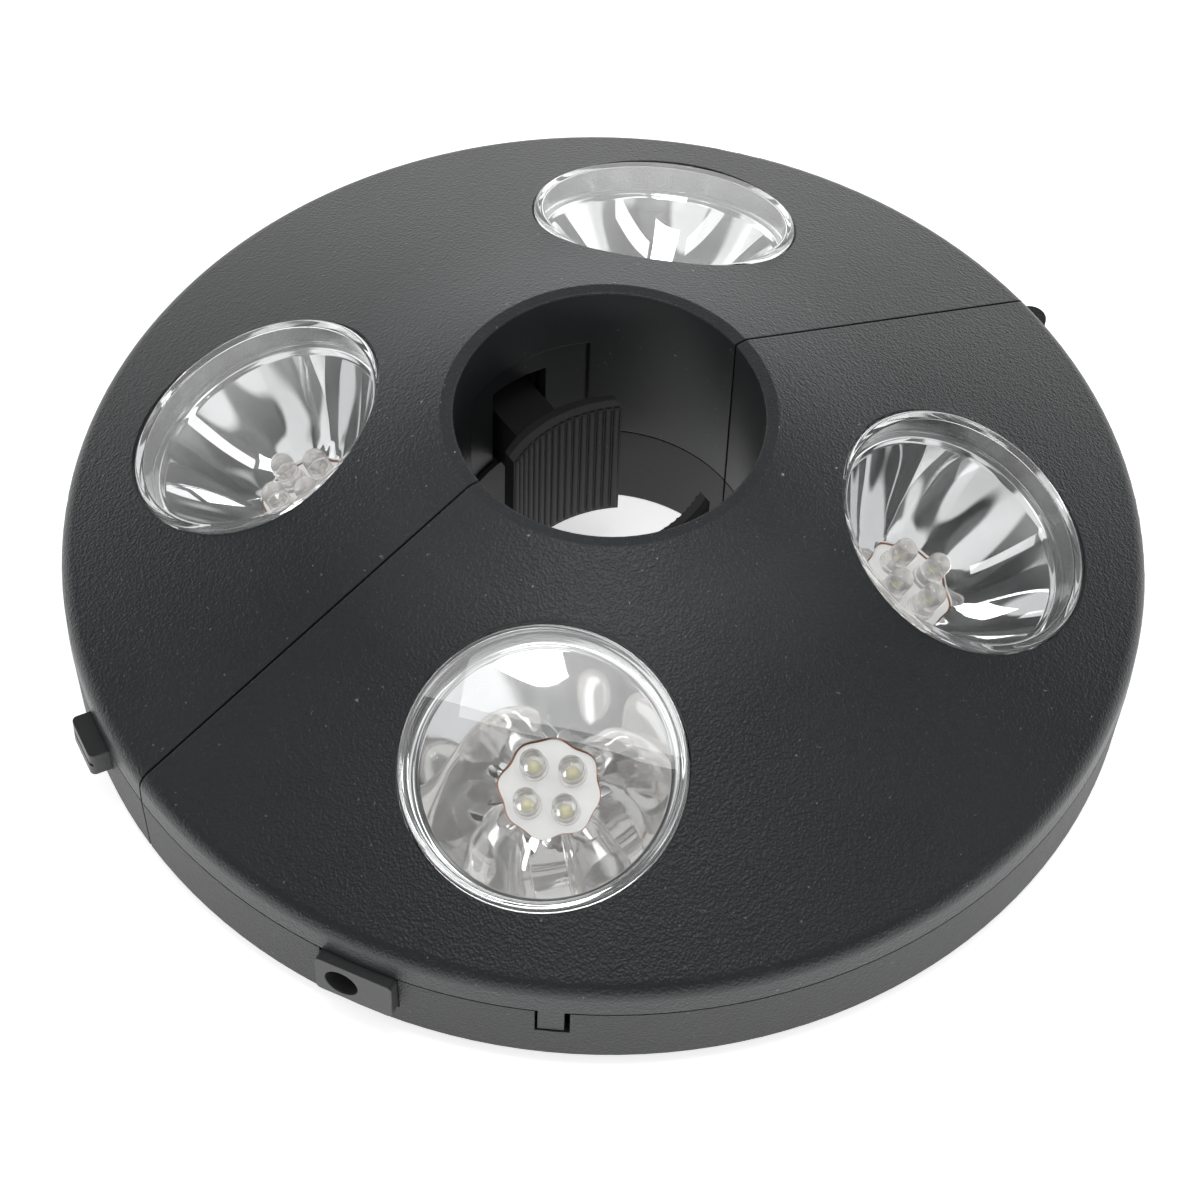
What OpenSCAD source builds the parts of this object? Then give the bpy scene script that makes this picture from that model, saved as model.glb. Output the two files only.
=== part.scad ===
// Cordless light that clamps round an umbrella pole: a low cone of two hinged
// halves with four lamps, a pole hole lined by two sprung grip pads, a battery
// bay in each half and a latch opposite the hinge.
// +Z is the lamp side, the origin is on the pole axis at the flat back face,
// the halves part along X with the hinge at +X. Sizes are millimetres.

/* [Disc] */
// Diameter of the disc across its skirt
disc_d = 220; // [210:0.5:240]
// Height from the flat back face to the top ring
disc_h = 64.5; // [62:0.5:70]
// Height at which the cone would meet the skirt
shoulder_z = 27.5; // [26:0.5:30]
// Radius of the rounded edge between cone and skirt
shoulder_r = 4; // [2:0.5:6]
// Width of the bevelled edge round the back face
bevel_w = 10; // [7:0.5:12]
// Height of the bevelled edge round the back face
bevel_h = 4; // [3:0.5:5]
// How much the skirt draws in from the seam to the bevel
skirt_draft = 0.8; // [0:0.1:1.5]
// Width of the straight gap between the two halves
split_gap = 0.5; // [0.3:0.1:1]

/* [Pole hole] */
// Radius of the hole for the pole
hole_r = 30.6; // [29.5:0.1:31.5]
// Width of the flat ring round the hole
ring_w = 2.6; // [2:0.1:4]
// Radius of the rounded inner edge of that ring
ring_edge = 0.6; // [0.3:0.1:1]
// Height of the seam inside the hole
inner_seam_z = 21.6; // [20.5:0.1:22]
// Half width of the pocket that a pad draws back into
pocket_x = 14.6; // [14:0.1:16]
// Height of the top of that pocket
pocket_top = 49.7; // [46:0.1:52]
// Radius of the back wall of that pocket
pocket_r = 31.6; // [31.2:0.1:33]
// Half width of the slot for the arm
slot_x = 6.5; // [6:0.1:8]
// Height of the top of that slot
slot_top = 43.3; // [40:0.1:45]

/* [Shells] */
// Wall of both shells
wall = 2.2; // [1.8:0.1:2.6]
// Wall along the split
end_wall = 2; // [1.5:0.1:2.5]
// Thickness of the floor
floor_t = 3; // [2.8:0.1:3.4]
// Height of the outer seam between the shells
seam_z = 20.4; // [19.8:0.1:21]
// Gap in that seam
seam_gap = 0.3; // [0.2:0.05:0.5]
// Height of the tongue that stands behind the seam
tongue_h = 3; // [2:0.5:4]
// Thickness of that tongue
tongue_t = 1.6; // [1.2:0.1:2]
// Gap between the tongue and the shell outside it
tongue_gap = 0.3; // [0.2:0.05:0.5]

/* [Lamps] */
// Distance of a lamp face from the pole axis, as a share of the disc's radius
lamp_share = 0.652; // [0.64:0.002:0.66]
// How deep the middle of a lamp face lies under the cone
lamp_sink = 0.94; // [0.5:0.02:1.5]
// Lean of a lamp away from the pole axis, in degrees
lamp_lean = 24; // [22:0.5:26]
// Radius of the clear cap
cap_r = 27.6; // [26:0.1:28]
// Thickness of the cap face
cap_face = 1.6; // [1.2:0.1:2]
// Depth of the cap with its skirt
cap_depth = 7; // [6:0.1:8]
// Wall of the cap skirt
cap_wall = 1.5; // [1.2:0.1:2]
// Gap round the cap
cap_gap = 0.35; // [0.2:0.05:0.5]
// Wall of the seat that a lamp sits in
seat_wall = 2.25; // [2:0.05:2.5]
// Thickness of the ledge that a lamp rests on
ledge_t = 1.5; // [1:0.1:2]
// Radius of the hole in that ledge
ledge_r = 25.9; // [25.8:0.05:26.2]
// Radius of the reflector bowl at its rim
bowl_r = 24.7; // [24:0.1:25]
// Radius of the hole at the bottom of the bowl
neck_r = 10; // [9:0.1:10.5]
// Depth of the bottom of the bowl below the lamp face
bowl_depth = 24; // [22:0.5:25]
// Thickness of the bowl
bowl_t = 1.2; // [1:0.1:1.5]
// Radius of the lamp board
board_r = 12.5; // [12:0.1:13]
// Thickness of the lamp board
board_t = 1.6; // [1.2:0.1:2]
// Diameter of one LED
led_d = 5; // [4.8:0.1:5.2]
// Height of one LED above its board
led_h = 8.7; // [8:0.1:9]
// Spacing of the four LEDs
led_pitch = 7.7; // [7:0.1:8]

/* [Clamp] */
// Half width of a grip pad
pad_x = 13.3; // [12.5:0.1:13.8]
// Height of the bottom edge of a pad
pad_z = 10.5; // [9:0.5:12]
// Height of a pad from bottom to top
pad_h = 33.5; // [32:0.5:34]
// Distance of the middle of the pad face from the pole axis
pad_y = 16.4; // [15.5:0.1:17]
// Radius of the curve across the ribs of a pad
pad_face_r = 26.5; // [25.5:0.1:28]
// Thickness of the rubber
pad_t = 2.2; // [2:0.1:2.4]
// Number of ribs on a pad
pad_ribs = 16; // [12:1:16]
// Spacing of the ribs
rib_pitch = 1.68; // [1.6:0.02:1.7]
// Radius of a rib
rib_r = 0.75; // [0.7:0.05:0.8]
// Height of a rib above the rubber between ribs
rib_h = 0.55; // [0.4:0.05:0.6]
// Height of the plain edge above and below the ribs
rib_end = 0.8; // [0.4:0.1:1.5]
// Distance of the back of a pad carrier from the pole axis
carrier_y = 20.4; // [20:0.1:20.6]
// Radius of the back of a pad carrier
carrier_r = 25.4; // [25:0.1:26]
// Travel of a pad away from the pole
clamp_travel = 10; // [8:0.5:10]
// Half width of the arm
arm_x = 5.3; // [5:0.1:5.6]
// Height of the underside of the arm
arm_z = 22; // [22:0.1:23]
// Height of the arm from underside to top
arm_h = 14; // [12:0.5:15]
// Length of the clamp spring when its pad is drawn right back
spring_min = 8; // [7.5:0.1:9]
// Radius of the tail rod behind the arm
rod_r = 2.5; // [2.2:0.1:2.8]
// Gap round the rod in its hole
rod_gap = 0.3; // [0.2:0.05:0.4]
// Gap between the guide's rear wall and the wall of the battery bay
guide_back_gap = 0.1; // [0.05:0.05:0.2]
// Wall of the guide
guide_t = 2; // [1.6:0.1:2.2]
// Gap between the arm and the guide
guide_gap = 0.4; // [0.3:0.05:0.5]
// Outer diameter of the clamp spring
spring_d = 9; // [8.4:0.1:9.6]
// Wire of the clamp spring
spring_wire = 0.9; // [0.8:0.05:1]
// Turns of the clamp spring
spring_turns = 7; // [6:1:7]

/* [Hinge] */
// Distance of the hinge pin outside the skirt
pin_out = 2.5; // [2.2:0.1:4]
// Diameter of the hinge pin
pin_d = 3; // [2.5:0.1:3.4]
// Radius of the hinge barrel
barrel_r = 3.4; // [3.2:0.1:3.8]
// Height of the bottom of the barrel
barrel_z = 4; // [4:0.1:5]
// Height of the two outer knuckles
knuckle_h = 4.8; // [4:0.1:5]
// Gap between knuckles
knuckle_gap = 0.4; // [0.2:0.05:0.5]
// Radial clearance of the turning knuckle on the pin
pin_clear = 0.05; // [0.02:0.01:0.1]

/* [Latch] */
// Direction of the release button, in degrees
button_az = 170; // [169:0.5:171]
// Half width of the release button
button_y = 5.25; // [4.8:0.05:5.5]
// Height of the underside of the release button
button_z = 13.8; // [13.4:0.1:14.2]
// Height of the release button
button_h = 6.2; // [5.8:0.1:6.2]
// Distance of the button's outer face outside the skirt
button_out = 3.9; // [3:0.1:4.5]
// Gap round the release button
button_gap = 0.35; // [0.25:0.05:0.4]
// Reach of the catch bar to the side of the button
bar_reach = 12.5; // [12:0.1:13]
// Overlap of the hook and the catch
catch_bite = 1; // [0.6:0.1:1.2]

/* [Socket and power button] */
// Direction of the charging socket plate, in degrees
plate_az = -150.25; // [-151:0.25:-149]
// Width of the plate
plate_w = 16.3; // [15:0.1:17]
// Height of the plate's lower edge
plate_z = 9.6; // [9:0.1:10]
// Distance of the plate's face outside the skirt
plate_out = 2; // [1.5:0.1:3]
// Depth of the plate around that hole
plate_t = 3.6; // [3.2:0.1:4]
// Radius of the hole in the plate
jack_r = 3.5; // [3.3:0.1:3.8]
// Height of that hole
jack_z = 14.5; // [14:0.1:15]
// Sideways shift of that hole on the plate
jack_shift = -2.6; // [-3:0.1:0]
// Direction of the power button, in degrees
power_az = 120; // [118:0.5:121]
// Height of the power button
power_z = 12; // [11:0.5:13]
// Radius of the power button
power_r = 4.5; // [4:0.1:5]
// Length of the control board, which is square
control_l = 26; // [24:0.5:28]
// Distance of the control board from the skirt
control_inset = 10; // [9:0.5:12]

/* [Batteries] */
// Diameter of one cell
cell_d = 14.5; // [14.1:0.1:14.5]
// Length of one cell over its pip
cell_l = 50.5; // [49.2:0.1:50.5]
// Half length of the battery bay
bay_x = 28.5; // [28:0.1:29]
// Distance of the bay from the pole axis, as a share of the disc's radius
bay_share = 0.56; // [0.56:0.002:0.568]
// Depth of the bay across the two cells
bay_d = 31; // [30.6:0.1:31.2]
// Height of the ceiling of the bay
bay_top = 17.5; // [17.3:0.1:18]
// Thickness of the bay walls
bay_wall = 1.5; // [1.2:0.1:1.6]
// Thickness of a battery door
door_t = 1.8; // [1.6:0.1:1.8]
// Gap round a battery door
door_gap = 0.3; // [0.2:0.05:0.4]
// Reach of the door's side tongues
door_tongue = 1.2; // [0.8:0.1:1.4]
// Distance of the door's outer end from the skirt
door_inset = 9; // [8:0.5:10]

/* [Fasteners] */
// Radius of a case screw's shank
screw_r = 1.4; // [1.2:0.1:1.5]
// Radius of a case screw's head
screw_head_r = 2.8; // [2.5:0.1:3]
// Distance of the case screws from the skirt
screw_inset = 16; // [15:0.1:16.5]

/* [Hidden] */
$fn = 48;
charcoal = [0.16, 0.16, 0.17];
rubber_black = [0.08, 0.08, 0.08];
steel = [0.75, 0.76, 0.78];
far = 2 * disc_d;
eps = 0.01;

disc_r = disc_d / 2;
back_r = disc_r - bevel_w;
pin_at = disc_r + pin_out;
button_face = disc_r + button_out;
plate_face = disc_r + plate_out;
screw_at = disc_r - screw_inset;
base_top = seam_z - seam_gap;
inner_top = inner_seam_z - seam_gap;
cone_slope = (disc_h - shoulder_z) / (disc_r - hole_r - ring_w);
cone_lean = atan(cone_slope);
cone_drop = wall / cos(cone_lean);
function cone_z(r) = shoulder_z + (disc_r - r) * cone_slope;
shoulder_in = disc_r - shoulder_r;
shoulder_mid = shoulder_z + shoulder_r * (cone_slope - 1 / cos(cone_lean));
bevel_r = disc_r - skirt_draft;
band_in = bevel_r - wall;

lamp_r = disc_r * lamp_share;
lamp_z = cone_z(lamp_r) - lamp_sink;
seat_r = cap_r + cap_gap;
seat_out = seat_r + seat_wall;
flange_t = bowl_t;
ledge_z = cap_depth + flange_t;
bowl_k = (bowl_depth - cap_depth) / (bowl_r * bowl_r - neck_r * neck_r);
neck_z = bowl_depth + 1;
right_lamp = 45;
left_lamp = 135;

pad_cy = pad_y - pad_face_r;
pad_back_r = pad_face_r + pad_t;
carrier_cy = carrier_y - carrier_r;
arm_mid = arm_z + arm_h / 2;
guide_in = arm_x + guide_gap;
guide_out = guide_in + guide_t;
bay_y = disc_r * bay_share;
guide_end = bay_y - bay_wall - guide_back_gap - guide_t;
arm_end = guide_end - spring_min - clamp_travel;
guide_start = pocket_r + wall + guide_gap * 2;
guide_floor = arm_z - guide_gap;
guide_plate = guide_t + 0.5;
guide_wall_top = arm_z + arm_h + guide_t;
rod_end = guide_end + guide_t + 2;
leg_l = guide_t * 2.5;
spring_r = (spring_d - spring_wire) / 2;

front_knuckle_z = barrel_z + knuckle_h + knuckle_gap;
back_knuckle_z = base_top - knuckle_h;
front_knuckle_h = back_knuckle_z - knuckle_gap - front_knuckle_z;
pin_r = pin_d / 2;

sleeve_t = 1.4;
sleeve_inset = 6.8;
sleeve_in = disc_r - sleeve_inset;
sleeve_root = 0.3;
bar_inset = 7.7;
bar_out = disc_r - bar_inset;
bar_t = 2.5;
bar_drop = 1.4;
button_corner = 1.2;
groove_depth = 0.6;
groove_w = 0.8;
tooth_inset = 5.8;
tooth_tip = disc_r - tooth_inset;
tooth_y = 4.6;
tooth_w = 2.6;
barb_gap = 0.8;
barb_tip = tooth_tip - catch_bite;
barb_y = tooth_y + tooth_w + barb_gap;
barb_w = 1.5;
hook_in = tooth_tip + 0.4;
hook_out = hook_in + 2;
hook_z = 13.2;
hook_h = 5;
hook_root = 13;
latch_room = 6;
hook_room = 0.8;
hook_slack = 1.5;
hook_under = 0.6;
release_inset = 18;
release_seat = disc_r - release_inset;
release_wall = 2;
release_half = 4.5;
release_d = 5.6;
release_wire = 0.6;
release_turns = 3;

wall_room = 12;
wall_in = disc_r - wall_room;
neck_room = 12;
neck_drop = 7;
window_az = [49.75, 130.25];
window_w = 6.7;
window_z = 12.7;
tab_w = 5.1;

jack_back = plate_face - plate_t;
plate_step = 0.5;
plate_back = jack_back - plate_step;
plate_lip_depth = 2.5;
plate_lip = plate_back - plate_lip_depth;
plate_lip_t = 1.4;
plate_lip_out = 1.2;
plate_waist = 0.8;
plate_corner = 1.2;
plate_room = 8;
plate_fit = 0.15;
socket_gap = 0.1;
socket_r = jack_r + socket_gap;
socket_l = 3.8;
socket_size = [11, 8.6, 8.6];
socket_inset = 3.5;
socket_bore = 2.8;
socket_bore_l = 9;
socket_pin = 1;
socket_pin_l = 8;

power_inset = 5.2;
power_in = disc_r - power_inset;
power_l = 6.6;
power_rim = 1;
power_rim_t = 1.6;
power_fit = 0.06;
power_recess = 0.6;
power_recess_l = 8.6;
power_stem_r = 1.2;
power_stem_l = 5.5;
switch_gap = 2.2;
switch_face = power_in - switch_gap;
switch_size = [8, 9, 8];
switch_foot = 2;
switch_bore_r = 1.3;
switch_bore_l = 6;
control_in = disc_r - control_inset - control_l;
control_post = 3;

door_y = bay_y - 1.5;
door_x = bay_x + 1.5;
door_end = disc_r - door_inset;
contact_w = 12;
contact_t = 0.5;
contact_r = 3;
contact_foot_r = 4.5;
cell_ys = [bay_y + cell_d / 2 + 0.6, bay_y + bay_d - cell_d / 2 - 0.6];
cell_z = door_t + 0.6 + cell_d / 2;

tongue_root = 6;

boss_r = 3.6;
boss_gap = 0.1;
boss_by_switch = power_az - asin((switch_size[1] / 2 + boss_r + boss_gap) / screw_at);
back_screw_az = [12, 65, boss_by_switch, 160];
front_screw_az = [-12, -65, -115, -166];
boss_top = 20.9;
cover_boss_z = boss_top + seam_gap;
screw_top = 27;

// Keeps the part of its children on one side of the split: 1 back, -1 front
module half(side, gap) {
    intersection() {
        children();
        translate([-far / 2, side > 0 ? gap : -gap - far, -1]) cube([far, far, far]);
    }
}

module back_side(side) {
    if (side > 0) children();
    else mirror([0, 1, 0]) children();
}

// Whole outer form of the two shells, from the back face to the ring
module cover_form() {
    rotate_extrude($fn = 180) {
        polygon([
            [hole_r, inner_seam_z], [hole_r, disc_h - ring_edge],
            [hole_r + ring_edge, disc_h - ring_edge],
            [hole_r + ring_edge, disc_h], [hole_r + ring_w, disc_h],
            [shoulder_in + shoulder_r * sin(cone_lean), shoulder_mid + shoulder_r * cos(cone_lean)],
            [shoulder_in, shoulder_mid], [disc_r, shoulder_mid],
            [disc_r, seam_z], [hole_r + 10, seam_z], [hole_r + 10, inner_seam_z]
        ]);
        translate([shoulder_in, shoulder_mid]) circle(shoulder_r);
        translate([hole_r + ring_edge, disc_h - ring_edge]) circle(ring_edge);
    }
}

module cover_hollow() {
    rotate_extrude($fn = 180) polygon([
        [hole_r + wall, seam_z - 1], [hole_r + wall, cone_z(hole_r + wall) - cone_drop],
        [disc_r - wall, cone_z(disc_r - wall) - cone_drop], [disc_r - wall, seam_z - 1]
    ]);
}

module base_form() {
    rotate_extrude($fn = 180) polygon([
        [hole_r, 0], [back_r, 0], [bevel_r, bevel_h],
        [disc_r, base_top], [hole_r + wall, base_top], [hole_r + wall, inner_top], [hole_r, inner_top]
    ]);
}

module base_hollow() {
    rotate_extrude($fn = 180) polygon([
        [hole_r + wall, floor_t], [back_r - 1, floor_t], [band_in, bevel_h + 2],
        [disc_r - wall, base_top + 1], [hole_r + wall, base_top + 1]
    ]);
}

module at_lamp(az) {
    rotate([0, 0, az]) translate([lamp_r, 0, lamp_z]) rotate([0, lamp_lean, 0]) children();
}

module ring(r_in, r_out, z0, h) {
    translate([0, 0, z0]) rotate_extrude($fn = 180) translate([r_in, 0]) square([r_out - r_in, h]);
}

// Box on a radius, from r0 to r1, with its own width and height
module radial_box(az, r0, r1, y0, y1, z0, z1) {
    rotate([0, 0, az]) translate([r0, y0, z0]) cube([r1 - r0, y1 - y0, z1 - z0]);
}

module box(x0, x1, y0, y1, z0, z1) {
    translate([x0, y0, z0]) cube([x1 - x0, y1 - y0, z1 - z0]);
}

// Upper shell of the back half. The front one is its mirror but for the screw bosses
module cover(screw_az) {
    difference() {
        half(1, split_gap / 2) cover_form();
        difference() {
            half(1, split_gap / 2 + end_wall) cover_hollow();
            for (az = [right_lamp, left_lamp]) at_lamp(az)
                translate([0, 0, -ledge_z - ledge_t])
                    cylinder(r = seat_out, h = 2 * seat_out, $fn = 120);
            for (az = screw_az) rotate([0, 0, abs(az)]) translate([screw_at, 0, cover_boss_z])
                cylinder(r = boss_r, h = far);
            intersection() {
                ring(hole_r, pocket_r + wall, seam_z - 2, pocket_top + wall - seam_z + 2);
                box(-pocket_x - wall, pocket_x + wall, 0, far, 0, far);
            }
        }
        for (az = [right_lamp, left_lamp]) at_lamp(az) {
            translate([0, 0, -ledge_z]) cylinder(r = seat_r, h = 2 * seat_r, $fn = 120);
            translate([0, 0, -ledge_z - ledge_t - 1])
                cylinder(r = ledge_r, h = 2 * ledge_t + 2, $fn = 120);
        }
        intersection() {
            translate([0, 0, inner_seam_z - 1])
                cylinder(r = pocket_r, h = pocket_top - inner_seam_z + 1, $fn = 180);
            box(-pocket_x, pocket_x, 0, far, 0, far);
        }
        box(-slot_x, slot_x, hole_r - 4, pocket_r + wall + 3, seam_z - 1, slot_top);
        box(-far, far, -far, far, seam_z - 2, seam_z);
        cylinder(r = pocket_r + wall + 2, h = inner_seam_z, $fn = 180);
        for (az = screw_az) rotate([0, 0, abs(az)]) translate([screw_at, 0, seam_z])
            cylinder(r = screw_r, h = screw_top - seam_z + 0.5);
    }
    for (az = window_az)
        radial_box(az, disc_r - wall + 0.1, disc_r - 0.6, -tab_w / 2 + 0.3, tab_w / 2 + 0.3,
                   window_z + 0.3, seam_z + 1);
}

// Lower shell of the back half: floor, band, hole wall, battery bay and bosses
module base_half(screw_az) {
    rim = disc_r - wall - tongue_gap;
    neck = hole_r + wall + tongue_gap;
    difference() {
        union() {
            difference() {
                half(1, split_gap / 2) base_form();
                half(1, split_gap / 2 + end_wall) base_hollow();
            }
            difference() {
                half(1, split_gap / 2 + end_wall + 0.4) {
                    ring(rim - tongue_t, rim, base_top - tongue_root, tongue_root + tongue_h);
                    ring(rim - tongue_t, disc_r - wall / 2, base_top - tongue_root, tongue_t);
                    ring(neck, neck + tongue_t, inner_top - tongue_root, tongue_root + tongue_h);
                    ring(hole_r + wall / 2, neck + tongue_t, inner_top - tongue_root, tongue_t);
                }
                box(-pocket_x - wall - 0.5, pocket_x + wall + 0.5, 0, hole_r + neck_room,
                    inner_top - neck_drop, far);
                box(-far, 0, -1, barb_y + latch_room, 0, far);
            }
            for (az = screw_az) rotate([0, 0, abs(az)]) translate([screw_at, 0, floor_t - eps])
                cylinder(r = boss_r, h = boss_top - floor_t);
            box(-bay_x - bay_wall, bay_x + bay_wall, bay_y - bay_wall, bay_y + bay_d + bay_wall,
                floor_t - eps, bay_top + bay_wall);
        }
        box(-bay_x, bay_x, bay_y, bay_y + bay_d, -1, bay_top);
        box(-door_x - door_gap, door_x + door_gap, door_y - door_gap, far, -1, door_t + 0.1);
        box(-door_x - door_tongue - door_gap, door_x + door_tongue + door_gap, door_y - door_gap, far,
            door_t - 1.1, door_t + 0.1);
        for (az = screw_az) rotate([0, 0, abs(az)]) translate([screw_at, 0, -1]) {
            cylinder(r = screw_r + 0.2, h = far);
            cylinder(r = screw_head_r + 0.3, h = floor_t + 1 + eps);
        }
    }
}

module hinge_knuckle(z, h, bore) {
    difference() {
        union() {
            translate([pin_at, 0, z]) cylinder(r = barrel_r, h = h);
            box(bevel_r - wall, pin_at, split_gap / 2, barrel_r, z, z + h);
        }
        translate([pin_at, 0, z - 1]) cylinder(r = bore, h = h + 2);
    }
}

module hinge_clearance(z, h) {
    translate([pin_at, 0, z]) cylinder(r = barrel_r + 0.3, h = h);
}

module back_base() {
    color(charcoal) {
        difference() {
            base_half(back_screw_az);
            hinge_clearance(front_knuckle_z - knuckle_gap, front_knuckle_h + 2 * knuckle_gap);
            translate([pin_at, 0, 0]) cylinder(r = pin_r + 0.02, h = far);
            for (az = window_az)
                radial_box(az, wall_in, far, -window_w / 2, window_w / 2, window_z, far);
            radial_box(button_az, sleeve_in, far, -button_y - button_gap, button_y + button_gap,
                       button_z - button_gap, far);
            box(-hook_out - hook_room, -hook_in + hook_room, 0, end_wall + hook_slack,
                hook_z - hook_under, far);
            rotate([0, 0, power_az]) translate([wall_in, 0, power_z]) rotate([0, 90, 0]) {
                cylinder(r = power_r + power_fit, h = far);
                cylinder(r = power_r + power_rim + power_recess, h = power_recess_l);
            }
        }
        hinge_knuckle(barrel_z, knuckle_h, pin_r + 0.02);
        hinge_knuckle(back_knuckle_z, knuckle_h, pin_r + 0.02);
        for (s = [-1, 1]) radial_box(button_az, sleeve_in, band_in + sleeve_root,
            s > 0 ? button_y + button_gap : -button_y - button_gap - sleeve_t,
            s > 0 ? button_y + button_gap + sleeve_t : -button_y - button_gap,
            button_z - button_gap - sleeve_t, base_top - 0.5);
        radial_box(button_az, sleeve_in, band_in + sleeve_root, -button_y - button_gap - sleeve_t,
                   button_y + button_gap + sleeve_t, floor_t - eps, button_z - button_gap);
        radial_box(button_az, release_seat - release_wall, release_seat, -release_half, release_half,
                   floor_t - eps, base_top - 0.5);
    }
}

module front_base() {
    color(charcoal) difference() {
        union() {
            difference() {
                mirror([0, 1, 0]) base_half(front_screw_az);
                hinge_clearance(barrel_z - knuckle_gap, knuckle_h + 2 * knuckle_gap);
                hinge_clearance(back_knuckle_z - knuckle_gap, far);
                for (az = window_az)
                    radial_box(-az, wall_in, far, -window_w / 2, window_w / 2, window_z, far);
                radial_box(plate_az, plate_back - plate_room, far, -plate_w / 2 - plate_fit,
                           plate_w / 2 + plate_fit, plate_z - plate_fit, far);
                radial_box(plate_az, plate_lip - plate_room / 2, plate_lip + plate_lip_t + plate_fit,
                           -plate_w / 2 - plate_lip_out - 2 * plate_fit,
                           plate_w / 2 + plate_lip_out + 2 * plate_fit,
                           plate_z + 1 - 2 * plate_fit, far);
            }
            mirror([0, 1, 0]) hinge_knuckle(front_knuckle_z, front_knuckle_h, pin_r + pin_clear);
            box(-hook_out, -hook_in, -hook_root, barb_y + barb_w, hook_z, hook_z + hook_h);
            box(-hook_in - eps, -barb_tip, barb_y, barb_y + barb_w, hook_z, hook_z + hook_h);
            box(-band_in - 0.4, -hook_out + eps, -hook_root, -end_wall - 2, hook_z, hook_z + hook_h);
            for (x = [0.15, 0.85], y = [-0.35, 0.35]) rotate([0, 0, plate_az])
                translate([control_in + x * control_l, y * control_l, floor_t - eps])
                cylinder(r = 1.8, h = control_post);
        }
        translate([pin_at, 0, 0]) cylinder(r = pin_r + pin_clear, h = far);
        box(-hook_out - hook_room, -hook_in + hook_room, -end_wall - hook_slack, 0,
            hook_z + hook_h, far);
        difference() {
            box(-hook_out - hook_room, -hook_in + hook_room, -end_wall - 0.4, 0,
                hook_z - hook_under, far);
            box(-hook_out, -hook_in, -far, far, hook_z, hook_z + hook_h);
        }
    }
}

module back_cover() {
    color(charcoal) cover(back_screw_az);
}

module front_cover() {
    color(charcoal) mirror([0, 1, 0]) cover(front_screw_az);
}

module hinge_pin() {
    color(steel) translate([pin_at, 0, barrel_z + 0.3])
        cylinder(r = pin_r, h = back_knuckle_z + knuckle_h - barrel_z - 0.6);
}

// Clear cap of one lamp, a face with a rounded edge and a short skirt
module lens(az) {
    edge = 1;
    color([0.85, 0.9, 0.95, 0.4]) at_lamp(az) rotate_extrude($fn = 120) difference() {
        union() {
            translate([0, -cap_depth]) square([cap_r - edge, cap_depth]);
            translate([0, -cap_depth]) square([cap_r, cap_depth - edge]);
            translate([cap_r - edge, -edge]) circle(edge);
        }
        translate([-1, -cap_depth - 1]) square([cap_r - cap_wall + 1, cap_depth - cap_face + 1]);
    }
}

function bowl_z(r) = -bowl_depth + bowl_k * (r * r - neck_r * neck_r);

// Chromed bowl with a flat flange that is clamped between cap and ledge
module reflector(az) {
    steps = 10;
    radii = [for (i = [0:steps]) neck_r + (bowl_r - neck_r) * i / steps];
    lean = [for (r = radii) atan(2 * bowl_k * r)];
    inside = [for (r = radii) [r, bowl_z(r)]];
    outside = [for (i = [steps:-1:0])
        [radii[i] + bowl_t * sin(lean[i]), inside[i][1] - bowl_t * cos(lean[i])]];
    color([0.8, 0.82, 0.85]) at_lamp(az) rotate_extrude($fn = 120) {
        polygon(concat(inside, outside));
        polygon([
            [bowl_r - 0.3, -cap_depth - 0.05], [cap_r - 0.2, -cap_depth - 0.05],
            [cap_r - 0.2, -ledge_z + 0.05], [bowl_r - 0.3, -ledge_z + 0.05]
        ]);
        polygon([
            [neck_r, -neck_z], [neck_r, -bowl_depth + eps],
            [neck_r + bowl_t, -bowl_depth + eps], [neck_r + bowl_t, -neck_z]
        ]);
    }
}

module led_board(az) {
    color([0.95, 0.95, 0.93]) at_lamp(az) translate([0, 0, -neck_z - board_t])
        cylinder(r = board_r, h = board_t, $fn = 96);
}

module leds(az) {
    flange_h = 1;
    color([0.95, 0.95, 0.8]) at_lamp(az) for (x = [-1, 1], y = [-1, 1])
        translate([x * led_pitch / 2, y * led_pitch / 2, -neck_z]) {
            cylinder(r = led_d / 2 + 0.4, h = flange_h);
            cylinder(r = led_d / 2, h = led_h - led_d / 2);
            translate([0, 0, led_h - led_d / 2]) sphere(led_d / 2);
        }
}

// Strip between two arcs across the pad, as wide as the pad
module arc_strip(r_in, cy_in, r_out, cy_out) {
    intersection() {
        difference() {
            translate([0, cy_out]) circle(r_out, $fn = 120);
            translate([0, cy_in]) circle(r_in, $fn = 120);
        }
        translate([-pad_x, 5]) square([2 * pad_x, far]);
    }
}

module grip_pad(side) {
    color(rubber_black) back_side(side) {
        translate([0, 0, pad_z]) linear_extrude(pad_h)
            arc_strip(pad_face_r + rib_h, pad_cy, pad_back_r, pad_cy);
        translate([0, 0, pad_z + rib_end]) linear_extrude(pad_h - 2 * rib_end) {
            arc_strip(pad_face_r + rib_h, pad_cy, pad_face_r + 2 * rib_h, pad_cy);
            for (i = [0:pad_ribs - 1]) {
                turn = (i - (pad_ribs - 1) / 2) * rib_pitch / pad_face_r * 180 / PI;
                translate([0, pad_cy]) rotate(-turn) translate([0, pad_face_r + rib_r])
                    circle(rib_r, $fn = 24);
            }
        }
    }
}

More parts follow.
